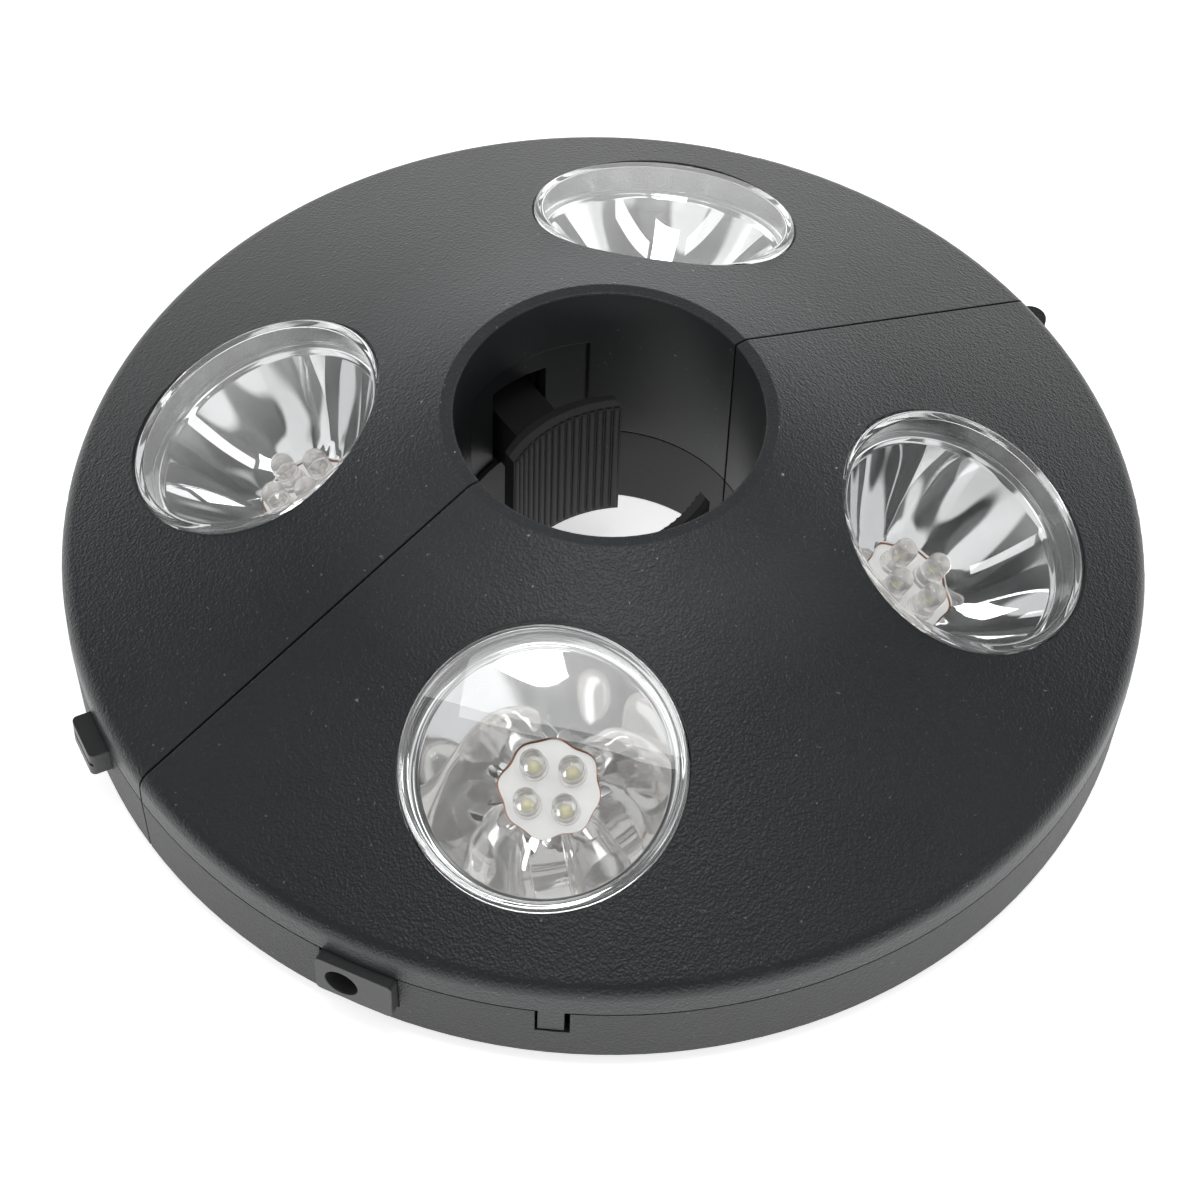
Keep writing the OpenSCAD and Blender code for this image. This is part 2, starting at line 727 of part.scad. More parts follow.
module clamp_carrier(side) {
    flare = 1.2;
    flare_l = 2.6;
    color(charcoal) back_side(side) {
        translate([0, 0, pad_z]) linear_extrude(pad_h)
            arc_strip(pad_back_r, pad_cy, carrier_r, carrier_cy);
        box(-arm_x, arm_x, carrier_y - 1, arm_end, arm_z, arm_z + arm_h);
        translate([0, carrier_y - 0.9, arm_z]) linear_extrude(arm_h) polygon([
            [-arm_x - flare, 0], [arm_x + flare, 0], [arm_x, flare_l], [-arm_x, flare_l]
        ]);
        translate([0, arm_end - 1, arm_mid]) rotate([-90, 0, 0])
            cylinder(r = rod_r, h = rod_end - arm_end + 1);
    }
}

// Floor, side walls and rear wall that carry the arm, on legs to the floor
module clamp_guide(side) {
    plate_z0 = guide_floor - guide_plate;
    color(charcoal) back_side(side) difference() {
        union() {
            box(-guide_out, guide_out, guide_start, guide_end + guide_t, plate_z0, guide_floor);
            for (x = [-guide_out, guide_in])
                box(x, x + guide_t, guide_start, guide_end + guide_t, plate_z0, guide_wall_top);
            box(-guide_out, guide_out, guide_end, guide_end + guide_t, plate_z0, guide_wall_top);
            for (y = [guide_start + 2, guide_end - 3])
                box(-guide_out, guide_out, y, y + leg_l, floor_t, plate_z0 + eps);
        }
        translate([0, guide_end - 1, arm_mid]) rotate([-90, 0, 0])
            cylinder(r = rod_r + rod_gap, h = guide_t + 2);
    }
}

// Coil from z = 0 to z = length as one unbroken tube
module coil(r, wire, turns, length) {
    rings = 8;
    sides = 6;
    steps = rings * turns;
    rise = (length - wire) / turns;
    echo(coil_gap = rise - wire);
    points = [for (i = [0:steps]) let (a = 360 * i / rings, z = wire / 2 + rise * i / rings)
        for (k = [0:sides - 1]) let (b = 360 * k / sides)
            [(r + wire / 2 * cos(b)) * cos(a), (r + wire / 2 * cos(b)) * sin(a),
             z + wire / 2 * sin(b)]];
    walls = [for (i = [0:steps - 1]) for (k = [0:sides - 1]) let (n = (k + 1) % sides)
        for (f = [[i * sides + k, (i + 1) * sides + k, (i + 1) * sides + n],
                  [i * sides + k, (i + 1) * sides + n, i * sides + n]]) f];
    start = [for (k = [1:sides - 2]) [0, k, k + 1]];
    end = [for (k = [1:sides - 2]) [steps * sides, steps * sides + k + 1, steps * sides + k]];
    polyhedron(points, concat(walls, start, end));
}

module clamp_spring(side) {
    color(steel) back_side(side) translate([0, arm_end, arm_mid]) rotate([-90, 0, 0])
        coil(spring_r, spring_wire, spring_turns, guide_end - arm_end);
}

module release_button() {
    bar_in = bar_out - bar_t;
    button_l = button_face - bar_in;
    top = button_z + button_h;
    color(charcoal) {
        difference() {
            rotate([0, 0, button_az]) translate([bar_in, 0, button_z]) linear_extrude(button_h) {
                translate([0, -button_y]) square([button_l - button_corner, 2 * button_y]);
                translate([0, button_corner - button_y])
                    square([button_l, 2 * (button_y - button_corner)]);
                for (s = [-1, 1]) translate([button_l - button_corner, s * (button_y - button_corner)])
                    circle(button_corner);
            }
            radial_box(button_az, button_face - groove_depth, far, -button_y - 1, button_y + 1,
                       button_z + (button_h - groove_w) / 2, button_z + (button_h + groove_w) / 2);
        }
        radial_box(button_az, bar_in, bar_out, -button_y, bar_reach, button_z, top - bar_drop);
        box(-tooth_tip, -bar_out + bar_drop, tooth_y, tooth_y + tooth_w, button_z, top - bar_drop);
    }
}

module release_spring() {
    length = bar_out - bar_t - release_seat;
    color(steel) rotate([0, 0, button_az]) translate([release_seat, 0, button_z + button_h / 2 - 0.2])
        rotate([0, 90, 0]) coil((release_d - release_wire) / 2, release_wire, release_turns, length);
}

module jack_plate() {
    top = base_top - 0.1;
    corner = plate_corner;
    color([0.45, 0.45, 0.46]) rotate([0, 0, plate_az]) difference() {
        union() {
            translate([plate_back - 1, 0, plate_z]) rotate([90, 0, 90])
                linear_extrude(plate_face - plate_back + 1) {
                    translate([-plate_w / 2, corner]) square([plate_w, top - plate_z - 2 * corner]);
                    translate([corner - plate_w / 2, 0]) square([plate_w - 2 * corner, top - plate_z]);
                    for (s = [-1, 1], z = [corner, top - plate_z - corner])
                        translate([s * (plate_w / 2 - corner), z]) circle(corner);
                }
            translate([plate_lip, -plate_w / 2 + plate_waist, plate_z + 1])
                cube([plate_lip_depth + plate_step, plate_w - 2 * plate_waist, top - plate_z - 2]);
            translate([plate_lip, -plate_w / 2 - plate_lip_out, plate_z + 1])
                cube([plate_lip_t, plate_w + 2 * plate_lip_out, top - plate_z - 2]);
        }
        translate([plate_lip - 1, jack_shift, jack_z]) rotate([0, 90, 0]) {
            cylinder(r = jack_r, h = far);
            cylinder(r = socket_r + socket_gap, h = jack_back - plate_lip + 1);
        }
    }
}

module dc_socket() {
    body = socket_size;
    color([0.1, 0.1, 0.1]) rotate([0, 0, plate_az]) translate([jack_back, jack_shift, jack_z]) {
        difference() {
            union() {
                translate([-body[0] - socket_inset, -body[1] / 2, -body[2] / 2]) cube(body);
                translate([-socket_l - 2 * socket_gap, 0, 0]) rotate([0, 90, 0])
                    cylinder(r = socket_r, h = socket_l);
            }
            translate([-socket_bore_l, 0, 0]) rotate([0, 90, 0]) cylinder(r = socket_bore, h = far);
        }
        translate([-socket_bore_l - 0.5, 0, 0]) rotate([0, 90, 0])
            cylinder(r = socket_pin, h = socket_pin_l);
    }
}

module power_button() {
    color(charcoal) rotate([0, 0, power_az]) translate([power_in, 0, power_z]) rotate([0, 90, 0]) {
        cylinder(r = power_r, h = power_l);
        cylinder(r = power_r + power_rim, h = power_rim_t);
        translate([0, 0, -power_stem_l]) cylinder(r = power_stem_r, h = power_stem_l + 0.5);
    }
}

module power_switch() {
    body = switch_size;
    color([0.1, 0.1, 0.1]) rotate([0, 0, power_az]) difference() {
        union() {
            translate([switch_face - body[0], -body[1] / 2, power_z - body[2] / 2]) cube(body);
            translate([switch_face - body[0] - switch_foot, -body[1] / 2, floor_t])
                cube([2 * switch_foot, body[1], power_z + body[2] / 2 - floor_t]);
        }
        translate([switch_face - switch_bore_l, 0, power_z]) rotate([0, 90, 0])
            cylinder(r = switch_bore_r, h = body[0]);
    }
}

module control_board() {
    chip = [5, 6, 1.6];
    plug = [7, 4, 1.8];
    can_r = 3;
    color([0.1, 0.35, 0.2]) rotate([0, 0, plate_az])
        translate([control_in, -control_l / 2, floor_t + control_post]) {
            cube([control_l, control_l, board_t]);
            translate([control_l * 0.12, control_l * 0.12, board_t - eps]) cube(chip);
            translate([control_l * 0.46, control_l * 0.73, board_t - eps]) cube(plug);
            translate([2 * can_r, control_l - 2.7 * can_r, board_t - eps])
                cylinder(r = can_r, h = 2 * can_r);
        }
}

module battery_door(side) {
    color(charcoal) back_side(side) intersection() {
        union() {
            box(-door_x, door_x, door_y, door_end, 0, door_t);
            box(-door_x - door_tongue, door_x + door_tongue, door_y, door_end - 6,
                door_t - 0.9, door_t - 0.1);
        }
        rotate_extrude($fn = 180) polygon([[0, 0], [back_r, 0], [bevel_r, bevel_h], [0, bevel_h]]);
    }
}

module cells(side) {
    pip_l = 1;
    pip_r = 2.7;
    color([0.2, 0.35, 0.6]) back_side(side) for (i = [0, 1])
        translate([0, cell_ys[i], cell_z]) rotate([0, i == 0 ? 90 : -90, 0])
            translate([0, 0, -cell_l / 2]) {
                cylinder(r = cell_d / 2, h = cell_l - pip_l);
                cylinder(r = pip_r, h = cell_l);
            }
}

// Flat plates at the bay ends: a pressed pip for a cell's plus, a coil for its minus
module contacts(side) {
    reach = bay_x - cell_l / 2;
    color(steel) back_side(side) for (i = [0, 1], s = [-1, 1])
        translate([0, cell_ys[i], cell_z]) rotate([0, s * 90, 0])
            translate([0, 0, cell_l / 2]) {
                translate([-contact_w / 2, -contact_w / 2, reach - contact_t])
                    cube([contact_w, contact_w, contact_t]);
                plus = (i == 0 && s > 0) || (i == 1 && s < 0);
                if (plus) cylinder(r = contact_r, h = reach);
                else cylinder(r1 = contact_r, r2 = contact_foot_r, h = reach);
            }
}

module screws(screw_az) {
    slot = 0.9;
    color(steel) for (az = screw_az) rotate([0, 0, az]) translate([screw_at, 0, 0]) difference() {
        union() {
            translate([0, 0, 1]) cylinder(r = screw_head_r, h = floor_t - 1);
            translate([0, 0, floor_t - eps]) cylinder(r = screw_r - 0.02, h = screw_top - floor_t);
        }
        for (turn = [0, 90]) rotate([0, 0, turn]) translate([-1.8, -slot / 2, 0]) cube([3.6, slot, 2]);
    }
}

back_base();
front_base();
back_cover();
front_cover();
hinge_pin();
lens(right_lamp);  // back_right_lens
lens(left_lamp);  // back_left_lens
lens(-right_lamp);  // front_right_lens
lens(-left_lamp);  // front_left_lens
reflector(right_lamp);  // back_right_reflector
reflector(left_lamp);  // back_left_reflector
reflector(-right_lamp);  // front_right_reflector
reflector(-left_lamp);  // front_left_reflector
led_board(right_lamp);  // back_right_led_board
led_board(left_lamp);  // back_left_led_board
led_board(-right_lamp);  // front_right_led_board
led_board(-left_lamp);  // front_left_led_board
leds(right_lamp);  // back_right_leds
leds(left_lamp);  // back_left_leds
leds(-right_lamp);  // front_right_leds
leds(-left_lamp);  // front_left_leds
grip_pad(1);  // back_grip_pad
grip_pad(-1);  // front_grip_pad
clamp_carrier(1);  // back_clamp_carrier
clamp_carrier(-1);  // front_clamp_carrier
clamp_spring(1);  // back_clamp_spring
clamp_spring(-1);  // front_clamp_spring
clamp_guide(1);  // back_clamp_guide
clamp_guide(-1);  // front_clamp_guide
release_button();
release_spring();
jack_plate();
dc_socket();
power_button();
power_switch();
control_board();
battery_door(1);  // back_battery_door
battery_door(-1);  // front_battery_door
cells(1);  // back_cells
cells(-1);  // front_cells
contacts(1);  // back_contacts
contacts(-1);  // front_contacts
screws(back_screw_az);  // back_screws
screws(front_screw_az);  // front_screws
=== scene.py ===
# A cordless light that clamps round an umbrella pole: two hinged half shells,
# four lamps under clear caps, two sprung rubber pads in the pole hole.
import math

import bmesh
import bpy
from mathutils import Matrix, Vector


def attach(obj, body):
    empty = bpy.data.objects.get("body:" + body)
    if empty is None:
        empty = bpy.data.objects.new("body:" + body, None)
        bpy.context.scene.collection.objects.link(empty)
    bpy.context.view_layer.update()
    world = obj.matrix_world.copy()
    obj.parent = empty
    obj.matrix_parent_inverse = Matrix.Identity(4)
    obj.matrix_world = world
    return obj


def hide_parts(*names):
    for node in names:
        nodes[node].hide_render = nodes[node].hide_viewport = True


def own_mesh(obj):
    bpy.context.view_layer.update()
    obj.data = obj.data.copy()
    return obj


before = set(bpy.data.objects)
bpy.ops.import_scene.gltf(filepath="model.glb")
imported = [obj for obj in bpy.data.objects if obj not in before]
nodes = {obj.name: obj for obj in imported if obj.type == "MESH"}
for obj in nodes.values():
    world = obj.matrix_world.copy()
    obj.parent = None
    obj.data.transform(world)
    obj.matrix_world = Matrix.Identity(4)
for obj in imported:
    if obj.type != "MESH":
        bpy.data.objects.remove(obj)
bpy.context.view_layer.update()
mm = 0.001


# The camera: a long lens high above the table, on the near left side of the
# light. The frame leans a little to one side.
scene = bpy.context.scene
camera_at = Vector((-283.7, -375.8, 633.1)) * mm
camera_roll = math.radians(2.29)
level_right = Vector((0.7986, -0.6018, 0.0))
level_up = Vector((0.4821, 0.6398, 0.5986))
lens_length_mm = 113.2
sensor_width_mm = 36.0
nearest_shown = 10.0 * mm
camera_right = math.cos(camera_roll) * level_right + math.sin(camera_roll) * level_up
camera_up = math.cos(camera_roll) * level_up - math.sin(camera_roll) * level_right
camera_back = camera_right.cross(camera_up)
camera_data = bpy.data.cameras.new("camera")
camera_data.sensor_width = sensor_width_mm
camera_data.lens = lens_length_mm
camera_data.clip_start = nearest_shown
camera = bpy.data.objects.new("camera", camera_data)
camera_axes = Matrix((camera_right, camera_up, camera_back)).transposed()
camera.matrix_world = Matrix.Translation(camera_at) @ camera_axes.to_4x4()
scene.collection.objects.link(camera)
scene.camera = camera
scene.view_settings.view_transform = "Standard"


# The floor: matt white paper with a little glow of its own, which still keeps
# a soft shadow. It is clear from below, so that a low view shows the underside.
floor_half = 3.0
floor_drop = 0.3 * mm
white = (1.0, 1.0, 1.0)
paper_white = (0.93, 0.93, 0.93)
paper_glow = 0.62


def new_material(name):
    """An empty node material."""
    material = bpy.data.materials.new(name)
    material.use_nodes = True
    material.node_tree.nodes.clear()
    return material


def add_node(tree, kind, **settings):
    """Adds a node to a tree.

    in_NAME or in_NUMBER sets a socket to a value, or joins it to the output of
    another node, given as that node or as (node, output).
    """
    node = tree.nodes.new(kind)
    for key, value in settings.items():
        if not key.startswith("in_"):
            setattr(node, key, value)
            continue
        label = key[3:].replace("_", " ")
        socket = node.inputs[int(label) if label.isdigit() else label]
        if isinstance(value, bpy.types.Node):
            value = (value, 0)
        if isinstance(value, tuple) and isinstance(value[0], bpy.types.Node):
            source, output = value
            tree.links.new(source.outputs[output], socket)
        else:
            socket.default_value = value
    return node


def mix_shaders(tree, share, first, second):
    return add_node(tree, "ShaderNodeMixShader", in_0=share, in_1=first, in_2=second)


def opaque(colour):
    return (*colour, 1.0)


def paper_of_floor():
    material = new_material("floor_paper")
    tree = material.node_tree
    paper = add_node(tree, "ShaderNodeBsdfDiffuse", in_Color=opaque(paper_white))
    glow = add_node(tree, "ShaderNodeEmission", in_Color=opaque(white), in_Strength=paper_glow)
    upper = add_node(tree, "ShaderNodeAddShader", in_0=paper, in_1=glow)
    lower = add_node(tree, "ShaderNodeBsdfTransparent")
    side = add_node(tree, "ShaderNodeNewGeometry")
    one_sided = mix_shaders(tree, (side, "Backfacing"), upper, lower)
    add_node(tree, "ShaderNodeOutputMaterial", in_0=one_sided)
    return material


floor_mesh = bpy.data.meshes.new("floor")
floor_corners = [(x * floor_half, y * floor_half, -floor_drop)
                 for x, y in ((-1, -1), (1, -1), (1, 1), (-1, 1))]
floor_mesh.from_pydata(floor_corners, [], [(0, 1, 2, 3)])
floor_mesh.materials.append(paper_of_floor())
floor = bpy.data.objects.new("floor", floor_mesh)
scene.collection.objects.link(floor)


# The room: plain white for the camera and even for matt surfaces. What the
# plastic and the bowls mirror is a bright low horizon on the far side, a dim
# dome, and soft bright patches that only rays through a clear cap see.
backdrop_glow = 1.0
even_glow = 0.7
dome_glow = 0.045
horizon_glow = 1.25
horizon_from, horizon_to = 0.24, 0.46
far_side = (0.64, 0.77, 0.0)
far_from, far_to = -0.25, 0.35
near_share = 0.12
patch_glow = 0.85
patch_scale = 1.7
patch_from, patch_to = 0.45, 0.53


def maths(tree, operation, first, second, clamp=False):
    return add_node(tree, "ShaderNodeMath", operation=operation, use_clamp=clamp,
                    in_0=first, in_1=second)


def map_range(tree, source, low=0.0, high=1.0, start=0.0, end=1.0, smooth=False):
    """Maps low to start and high to end, and holds both ends."""
    return add_node(tree, "ShaderNodeMapRange",
                    interpolation_type="SMOOTHSTEP" if smooth else "LINEAR",
                    in_0=source, in_1=low, in_2=high, in_3=start, in_4=end)


def mirrored_room(tree, rays, sky):
    """The strength of the room for rays that have met the plastic or a bowl."""
    height = add_node(tree, "ShaderNodeSeparateXYZ", in_0=(sky, "Generated"))
    low_band = map_range(tree, (height, "Z"), low=horizon_from, high=horizon_to,
                         start=horizon_glow, end=0.0, smooth=True)
    toward = add_node(tree, "ShaderNodeVectorMath", operation="DOT_PRODUCT",
                      in_0=(sky, "Generated"), in_1=far_side)
    facing = map_range(tree, (toward, "Value"), low=far_from, high=far_to,
                       start=near_share, end=1.0, smooth=True)
    horizon = maths(tree, "MULTIPLY", low_band, facing)
    dome = maths(tree, "ADD", horizon, dome_glow)
    patches = add_node(tree, "ShaderNodeTexNoise", in_Vector=(sky, "Generated"),
                       in_Scale=patch_scale, in_Detail=0.0)
    bright = map_range(tree, (patches, "Fac"), low=patch_from, high=patch_to,
                       start=0.0, end=patch_glow, smooth=True)
    under_cap = maths(tree, "MINIMUM", (rays, "Transmission Depth"), 1.0)
    in_bowl = maths(tree, "MULTIPLY", bright, under_cap)
    return maths(tree, "ADD", dome, in_bowl)


def backdrop(tree, strength):
    return add_node(tree, "ShaderNodeBackground", in_Color=opaque(white), in_Strength=strength)


def studio_room():
    world = bpy.data.worlds.new("studio")
    world.use_nodes = True
    tree = world.node_tree
    tree.nodes.clear()
    rays = add_node(tree, "ShaderNodeLightPath")
    sky = add_node(tree, "ShaderNodeTexCoord")
    mirrored = maths(tree, "MAXIMUM", (rays, "Is Glossy Ray"), (rays, "Is Transmission Ray"))
    scattered = maths(tree, "GREATER_THAN", (rays, "Diffuse Depth"), 0.5)
    mirror_first = maths(tree, "SUBTRACT", mirrored, scattered, clamp=True)
    lit = mix_shaders(tree, mirror_first, backdrop(tree, even_glow),
                      backdrop(tree, mirrored_room(tree, rays, sky)))
    seen = mix_shaders(tree, (rays, "Is Camera Ray"), lit, backdrop(tree, backdrop_glow))
    add_node(tree, "ShaderNodeOutputWorld", in_0=seen)
    return world


scene.world = studio_room()


# The soft boxes: one large above, one low in front, and a tall one on each
# side, which draw the long highlights along the cone and the band.
box_distance = 1.5


def soft_box(name, turn, rise, width, height, glow):
    """A rectangular soft box of an even glow, aimed at the middle of the table."""
    place = Vector((0, 0, box_distance))
    place.rotate(Matrix.Rotation(math.radians(90 - rise), 3, "Y"))
    place.rotate(Matrix.Rotation(math.radians(turn), 3, "Z"))
    data = bpy.data.lights.new(name, "AREA")
    data.shape = "RECTANGLE"
    data.size = width
    data.size_y = height
    data.energy = glow * math.pi * width * height
    box = bpy.data.objects.new(name, data)
    box.location = place
    box.rotation_mode = "QUATERNION"
    box.rotation_quaternion = place.to_track_quat("Z", "Y")
    scene.collection.objects.link(box)


soft_box("top_box", turn=-140.0, rise=84.5, width=0.62, height=0.46, glow=4.6)
soft_box("front_box", turn=-127.0, rise=15.0, width=0.8, height=0.2, glow=0.4)
soft_box("left_box", turn=147.0, rise=55.0, width=0.22, height=0.66, glow=1.05)
soft_box("right_box", turn=-48.0, rise=60.0, width=0.26, height=0.8, glow=1.4)


# The charcoal moulded shells. Thermoplastic with a wrinkled leathery grain on
# the cone, polished in the pole hole, sandy on the top ring and on the band
# of the lower half. Edges are worn round, and fine dust lies on the outside.
# The cover's colour is lighter round the pole as a painted highlight, and
# both halves are darker in the pole hole as painted shade.
disc_radius = 110.0 * mm
# The wall of the pole hole lies inside the first limit and below the second.
hole_limit = 31.9 * mm
ring_limit = 64.0 * mm
hole_grain = 0.1
# Painted shade: the share of the colour that is left inside the pole hole.
hole_painted_shade = 0.6
# How finely and how far the grain is bent, and the ripple in it, per grain.
fold_rate = 0.8
fold_reach = 0.9
ripple_rate = 0.55
cloud_scale = 28.0
cloud_shift = 0.1
speck_scale = 900.0
speck_from, speck_to = 0.72, 0.8
dust_colour = (0.3, 0.3, 0.29)
smoothest, roughest = -0.04, 0.05
halves = ("back", "front")


def dress(name, material):
    """Gives a solid of the construction its finish."""
    solid = nodes[name]
    solid.data.materials.clear()
    solid.data.materials.append(material)


def noise(tree, where, scale, detail):
    """A noise texture that is laid out on the piece's own coordinates."""
    return add_node(tree, "ShaderNodeTexNoise", in_Vector=(where, "Object"),
                    in_Scale=scale, in_Detail=detail)


def two_tones(tree, source, dark, light, start=0.0, end=1.0):
    """A blend of two colours that follows a texture."""
    ramp = add_node(tree, "ShaderNodeValToRGB", in_Fac=(source, "Fac"))
    ends = ramp.color_ramp.elements
    ends[0].position = start
    ends[1].position = end
    ends[0].color = opaque(dark)
    ends[1].color = opaque(light)
    return ramp


def grained_plastic(name, colour, roughness, grain_mm, depth_mm, edge_mm=0.0, dust=0.0):
    """Moulded plastic: leathery grain, clouds of colour and sheen, dust and worn edges."""
    grain = grain_mm * mm
    material = new_material(name)
    tree = material.node_tree
    where = add_node(tree, "ShaderNodeTexCoord")
    fold = noise(tree, where, scale=fold_rate / grain, detail=2.0)
    bent = add_node(tree, "ShaderNodeVectorMath", operation="MULTIPLY_ADD",
                    in_0=(fold, "Color"), in_1=(fold_reach * grain,) * 3,
                    in_2=(where, "Object"))
    leather = add_node(tree, "ShaderNodeTexVoronoi", feature="SMOOTH_F1",
                       in_Vector=bent, in_Scale=1.0 / grain)
    ripple = noise(tree, where, scale=ripple_rate / grain, detail=3.0)
    relief = maths(tree, "ADD", (leather, "Distance"), (ripple, "Fac"))
    bump = add_node(tree, "ShaderNodeBump", in_Strength=1.0, in_Distance=depth_mm * mm,
                    in_Height=relief)
    if edge_mm:
        worn = add_node(tree, "ShaderNodeBevel", samples=4, in_Radius=edge_mm * mm)
        tree.links.new(worn.outputs[0], bump.inputs["Normal"])
    cloud = noise(tree, where, scale=cloud_scale, detail=4.0)
    tint = two_tones(tree, cloud, [c * (1.0 - cloud_shift) for c in colour],
                     [c * (1.0 + cloud_shift) for c in colour], start=0.3, end=0.7)
    sheen = map_range(tree, (cloud, "Fac"), start=roughness + smoothest,
                      end=roughness + roughest)
    specks = noise(tree, where, scale=speck_scale, detail=2.0)
    dusty = map_range(tree, (specks, "Fac"), low=speck_from, high=speck_to, end=dust)
    powdered = add_node(tree, "ShaderNodeMix", data_type="RGBA", in_Factor=dusty, in_A=tint,
                        in_B=opaque(dust_colour))
    shader = add_node(tree, "ShaderNodeBsdfPrincipled", in_Base_Color=(powdered, "Result"),
                      in_Roughness=sheen, in_Normal=bump)
    add_node(tree, "ShaderNodeOutputMaterial", in_0=shader)
    return material


def plan_of(tree, where):
    """The piece's own coordinates with the height left out."""
    return add_node(tree, "ShaderNodeVectorMath", operation="MULTIPLY",
                    in_0=(where, "Object"), in_1=(1.0, 1.0, 0.0))


def reach_of(tree, plan):
    """The distance from the piece's own upright axis."""
    return (add_node(tree, "ShaderNodeVectorMath", operation="LENGTH", in_0=plan), "Value")


def paint_light_by_radius(material, stops):
    """Paints light and shade into a shell's colour by distance from the pole, and polishes its
    hole. The stops paint a highlight or shade by radius, and the hole is darkened as painted
    shade.

    stops holds a radius in millimetres and the painted brightness there.
    """
    tree = material.node_tree
    shader = tree.nodes["Principled BSDF"]
    plain_colour = shader.inputs["Base Color"].links[0].from_socket
    where = add_node(tree, "ShaderNodeTexCoord")
    reach = reach_of(tree, plan_of(tree, where))
    share = map_range(tree, reach, high=disc_radius)
    ramp = add_node(tree, "ShaderNodeValToRGB", in_Fac=share)
    marks = ramp.color_ramp.elements
    marks.remove(marks[1])
    for number, (radius_mm, painted_level) in enumerate(stops):
        place = radius_mm * mm / disc_radius
        mark = marks.new(place) if number else marks[0]
        mark.position = place
        mark.color = (painted_level, painted_level, painted_level, 1.0)
    heights = add_node(tree, "ShaderNodeSeparateXYZ", in_0=(where, "Object"))
    near_pole = maths(tree, "LESS_THAN", reach, hole_limit)
    under_ring = maths(tree, "LESS_THAN", (heights, "Z"), ring_limit)
    in_hole = maths(tree, "MULTIPLY", near_pole, under_ring)
    grain_left = map_range(tree, in_hole, start=1.0, end=hole_grain)
    tree.links.new(grain_left.outputs[0], tree.nodes["Bump"].inputs["Strength"])
    painted_hole_shade = map_range(tree, in_hole, start=1.0, end=hole_painted_shade)
    painted_light_level = maths(tree, "MULTIPLY", ramp, painted_hole_shade)
    light_painted_colour = add_node(tree, "ShaderNodeVectorMath", operation="SCALE", in_Scale=painted_light_level)
    tree.links.new(plain_colour, light_painted_colour.inputs[0])
    tree.links.new(light_painted_colour.outputs[0], shader.inputs["Base Color"])


cover_plastic = grained_plastic("cover_plastic", (0.0195, 0.0215, 0.0235), roughness=0.39,
                                grain_mm=0.5, depth_mm=0.12, edge_mm=0.35, dust=0.5)
base_plastic = grained_plastic("base_plastic", (0.018, 0.0192, 0.0205), roughness=0.5,
                               grain_mm=0.45, depth_mm=0.16, edge_mm=0.35, dust=0.5)
# The cover's stops paint a highlight: its colour is lighter within about 60 mm of the pole.
paint_light_by_radius(cover_plastic, [(30, 1.6), (46, 1.7), (64, 1.0), (110, 1.0)])
# The base's stops paint shade: its colour is darker next to the pole, in the hole.
paint_light_by_radius(base_plastic, [(30, 0.8), (34, 1.0), (110, 1.0)])
for half in halves:
    dress(half + "_cover", cover_plastic)
    dress(half + "_base", base_plastic)


# The clamp: in each half a rubber pad with upright ribs, bonded to the curved
# plate of a moulded carrier that slides in a guide on the floor.
pad_rubber = grained_plastic("pad_rubber", (0.034, 0.034, 0.035), roughness=0.55,
                             grain_mm=0.5, depth_mm=0.03, edge_mm=0.2, dust=0.5)
inner_plastic = grained_plastic("inner_plastic", (0.018, 0.018, 0.019), roughness=0.35,
                                grain_mm=1.5, depth_mm=0.02, edge_mm=0.3)
for half in halves:
    dress(half + "_grip_pad", pad_rubber)
    dress(half + "_clamp_carrier", inner_plastic)
    dress(half + "_clamp_guide", inner_plastic)


# The latch and power buttons and the socket's bezel plate: smoother mouldings
# in a slightly lighter grey. The socket and the switch behind are plain black.
button_plastic = grained_plastic("button_plastic", (0.035, 0.036, 0.0375), roughness=0.42,
                                 grain_mm=0.5, depth_mm=0.04, edge_mm=0.35, dust=0.4)
bezel_plastic = grained_plastic("bezel_plastic", (0.036, 0.037, 0.039), roughness=0.42,
                                grain_mm=0.6, depth_mm=0.03, edge_mm=0.35, dust=0.4)
dress("release_button", button_plastic)
dress("power_button", button_plastic)
dress("jack_plate", bezel_plastic)
dress("dc_socket", inner_plastic)
dress("power_switch", inner_plastic)


# The plain metal parts: a turned steel hinge pin, nickel-plated battery
# contacts pressed from strip, and zinc-plated case screws.
def metal(name, colour, roughness, grain_mm, depth_mm=0.01, edge_mm=0.1):
    """Worked metal, with the faint marks of its making."""
    material = grained_plastic(name, colour, roughness, grain_mm, depth_mm, edge_mm)
    material.node_tree.nodes["Principled BSDF"].inputs["Metallic"].default_value = 1.0
    return material


spring_steel = metal("spring_steel", (0.42, 0.42, 0.43), roughness=0.28, grain_mm=0.3)
plated_steel = metal("plated_steel", (0.6, 0.6, 0.58), roughness=0.32, grain_mm=0.2)
dress("hinge_pin", spring_steel)
for half in halves:
    dress(half + "_contacts", plated_steel)
    dress(half + "_screws", plated_steel)


def spring_coil(name, body):
    """A steel copy of the solid spring, in its place, which rides on the given body."""
    solid = nodes[name]
    coil = bpy.data.objects.new(name + "_coil", solid.data.copy())
    coil.matrix_world = solid.matrix_world
    scene.collection.objects.link(coil)
    coil.data.materials.clear()
    coil.data.materials.append(spring_steel)
    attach(coil, body)
    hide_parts(name)
    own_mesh(coil)


for half, side in zip(halves, (1, -1)):
    spring_coil(half + "_clamp_spring", half + "_half")
spring_coil("release_spring", "back_half")


